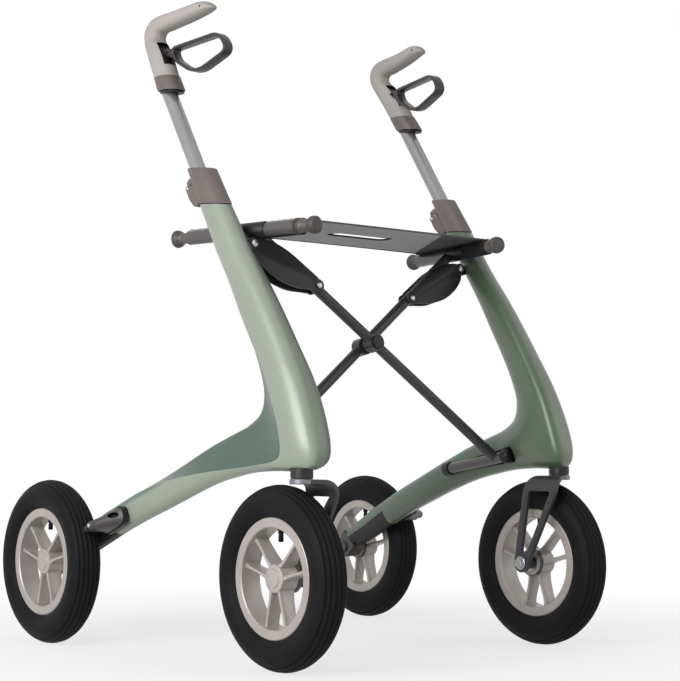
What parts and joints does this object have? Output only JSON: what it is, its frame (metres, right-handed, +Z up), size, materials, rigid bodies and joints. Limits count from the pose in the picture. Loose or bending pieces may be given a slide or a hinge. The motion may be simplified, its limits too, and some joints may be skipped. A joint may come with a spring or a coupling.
{
  "type": "all terrain rollator",
  "caption": "Folding all terrain rollator with curved side frames, sling seat, telescopic handles, loop brakes, swivelling front casters and large tyred wheels.",
  "frame": {"origin": "on the floor, at the middle of the bounding box", "axes": "+Z up, -Y the way the rollator travels, +X the walking person's left"},
  "size_m": [0.6998, 0.756, 0.9854],
  "materials": {
    "pearl_frame": "pearl lacquer over a moulded composite",
    "taupe_plastic": "satin moulded",
    "black_plastic": "satin moulded",
    "dark_plastic": "satin moulded",
    "gunmetal": "powder coated casting",
    "steel": "turned",
    "black_metal": "satin black paint",
    "anodised_tube": "satin anodised",
    "grip_rubber": "matt soft moulding",
    "loop_plastic": "satin moulded",
    "rim_alloy": "silver lacquer",
    "tyre_rubber": "moulded tread",
    "knob_plastic": "satin moulded",
    "brace_paint": "dark powder coat",
    "seat_fabric": "woven mesh sling"
  },
  "bodies": {
    "frame_right_body": {"frame_right": "pearl_frame", "clamp_collar_right": "taupe_plastic", "frame_brackets_right": "black_plastic", "steer_housing_right": "gunmetal", "arm_plug_right": "dark_plastic", "rear_axle_right": "steel", "brake_body_right": "dark_plastic", "frame_pins_right": "steel"},
    "clamp_lever_right_body": {"clamp_lever_right": "taupe_plastic"},
    "link_right_body": {"link_right": "black_metal"},
    "handle_right_body": {"handle_tube_right": "anodised_tube", "grip_right": "grip_rubber", "grip_sleeve_right": "taupe_plastic", "lever_mount_right": "black_plastic"},
    "brake_lever_right_body": {"brake_lever_right": "loop_plastic"},
    "brake_bar_right_body": {"brake_bar_right": "dark_plastic"},
    "caster_right_body": {"fork_right": "gunmetal", "front_axle_right": "steel"},
    "front_wheel_right_body": {"front_rim_right": "rim_alloy", "front_tyre_right": "tyre_rubber", "front_bearings_right": "steel"},
    "rear_wheel_right_body": {"rear_rim_right": "rim_alloy", "rear_tyre_right": "tyre_rubber", "rear_bearings_right": "steel"},
    "frame_left_body": {"frame_left": "pearl_frame", "clamp_collar_left": "taupe_plastic", "frame_brackets_left": "black_plastic", "steer_housing_left": "gunmetal", "arm_plug_left": "dark_plastic", "rear_axle_left": "steel", "brake_body_left": "dark_plastic", "frame_pins_left": "steel"},
    "clamp_lever_left_body": {"clamp_lever_left": "taupe_plastic"},
    "link_left_body": {"link_left": "black_metal"},
    "handle_left_body": {"handle_tube_left": "anodised_tube", "grip_left": "grip_rubber", "grip_sleeve_left": "taupe_plastic", "lever_mount_left": "black_plastic"},
    "brake_lever_left_body": {"brake_lever_left": "loop_plastic"},
    "brake_bar_left_body": {"brake_bar_left": "dark_plastic"},
    "caster_left_body": {"fork_left": "gunmetal", "front_axle_left": "steel"},
    "front_wheel_left_body": {"front_rim_left": "rim_alloy", "front_tyre_left": "tyre_rubber", "front_bearings_left": "steel"},
    "rear_wheel_left_body": {"rear_rim_left": "rim_alloy", "rear_tyre_left": "tyre_rubber", "rear_bearings_left": "steel"},
    "brace_rear_body": {"brace_rear": "brace_paint", "hinge_barrel_rear": "anodised_tube", "brace_bolt": "steel", "seat_rail_left": "anodised_tube", "bag_knobs_left": "knob_plastic"},
    "brace_front_body": {"brace_front": "brace_paint", "hinge_barrel_front": "anodised_tube", "seat_rail_right": "anodised_tube", "bag_knobs_right": "knob_plastic", "seat_cloth": "seat_fabric"}
  },
  "joints": [
    {"name": "fold", "type": "hinge", "parent": "frame_right_body", "child": "brace_rear_body", "pos_m": [-0.2315, -0.13558, 0.28057], "axis": [0, -0.9874, 0.1582], "range_deg": [0, 34]},
    {"name": "brace_scissor", "type": "hinge", "parent": "brace_rear_body", "child": "brace_front_body", "pos_m": [0, -0.136, 0.4607], "axis": [0, -0.9874, 0.1582], "range_deg": [-72.92, 0], "deforming": ["seat_cloth"]},
    {"name": "fold_left", "type": "hinge", "parent": "brace_front_body", "child": "frame_left_body", "pos_m": [0.2315, -0.13558, 0.28057], "axis": [0, -0.9874, 0.1582], "range_deg": [0, 34.5]},
    {"name": "link_right_turn", "type": "hinge", "parent": "frame_right_body", "child": "link_right_body", "pos_m": [-0.219, -0.12831, 0.5972], "axis": [0, -0.9874, 0.1582], "range_deg": [0, 89.92]},
    {"name": "link_left_turn", "type": "hinge", "parent": "frame_left_body", "child": "link_left_body", "pos_m": [0.219, -0.10067, 0.59277], "axis": [0, -0.9874, 0.1582], "range_deg": [-89.92, 0]},
    {"name": "handle_right_height", "type": "slide", "parent": "frame_right_body", "child": "handle_right_body", "axis": [0.0176, 0.5402, 0.8413], "range_m": [-0.105, 0.04]},
    {"name": "clamp_right_open", "type": "hinge", "parent": "frame_right_body", "child": "clamp_lever_right_body", "pos_m": [-0.24749, -0.0291, 0.69352], "axis": [0.9998, 0, -0.0209], "range_deg": [0, 100]},
    {"name": "brake_right_squeeze", "type": "hinge", "parent": "handle_right_body", "child": "brake_lever_right_body", "pos_m": [-0.23287, 0.06151, 0.9134], "axis": [-0.9914, -0.1305, 0], "range_deg": [0, 11], "stiffness_Nm_per_rad": 1.2, "springref_deg": -5.73},
    {"name": "brake_bar_right_press", "type": "hinge", "parent": "frame_right_body", "child": "brake_bar_right_body", "pos_m": [-0.2998, 0.11061, 0.20149], "axis": [1, 0, 0], "range_deg": [0, 5.6]},
    {"name": "caster_right_swivel", "type": "hinge", "parent": "frame_right_body", "child": "caster_right_body", "pos_m": [-0.25246, -0.294, 0.285], "axis": [0, 0, 1], "continuous": true},
    {"name": "front_wheel_right_spin", "type": "hinge", "parent": "caster_right_body", "child": "front_wheel_right_body", "pos_m": [-0.25446, -0.251, 0.127], "axis": [1, 0, 0], "continuous": true},
    {"name": "rear_wheel_right_spin", "type": "hinge", "parent": "frame_right_body", "child": "rear_wheel_right_body", "pos_m": [-0.32498, 0.251, 0.127], "axis": [1, 0, 0], "continuous": true},
    {"name": "handle_left_height", "type": "slide", "parent": "frame_left_body", "child": "handle_left_body", "axis": [-0.0176, 0.5402, 0.8413], "range_m": [-0.105, 0.04]},
    {"name": "clamp_left_open", "type": "hinge", "parent": "frame_left_body", "child": "clamp_lever_left_body", "pos_m": [0.24749, -0.0291, 0.69352], "axis": [0.9998, 0, 0.0209], "range_deg": [0, 100]},
    {"name": "brake_left_squeeze", "type": "hinge", "parent": "handle_left_body", "child": "brake_lever_left_body", "pos_m": [0.23287, 0.06151, 0.9134], "axis": [-0.9914, 0.1305, 0], "range_deg": [0, 11], "stiffness_Nm_per_rad": 1.2, "springref_deg": -5.73},
    {"name": "brake_bar_left_press", "type": "hinge", "parent": "frame_left_body", "child": "brake_bar_left_body", "pos_m": [0.2998, 0.11061, 0.20149], "axis": [1, 0, 0], "range_deg": [0, 5.6]},
    {"name": "caster_left_swivel", "type": "hinge", "parent": "frame_left_body", "child": "caster_left_body", "pos_m": [0.25246, -0.294, 0.285], "axis": [0, 0, 1], "continuous": true},
    {"name": "front_wheel_left_spin", "type": "hinge", "parent": "caster_left_body", "child": "front_wheel_left_body", "pos_m": [0.25446, -0.251, 0.127], "axis": [1, 0, 0], "continuous": true},
    {"name": "rear_wheel_left_spin", "type": "hinge", "parent": "frame_left_body", "child": "rear_wheel_left_body", "pos_m": [0.32498, 0.251, 0.127], "axis": [1, 0, 0], "continuous": true}
  ],
  "couplings": [
    {"joint": "brace_scissor", "follows": "fold", "ratio": -2.13},
    {"joint": "fold_left", "follows": "fold", "ratio": 1},
    {"joint": "link_right_turn", "follows": "fold", "ratio": 2.63},
    {"joint": "link_left_turn", "follows": "fold", "ratio": -2.63},
    {"joint": "brake_bar_right_press", "follows": "brake_right_squeeze", "ratio": 0.5},
    {"joint": "brake_bar_left_press", "follows": "brake_left_squeeze", "ratio": 0.5}
  ]
}
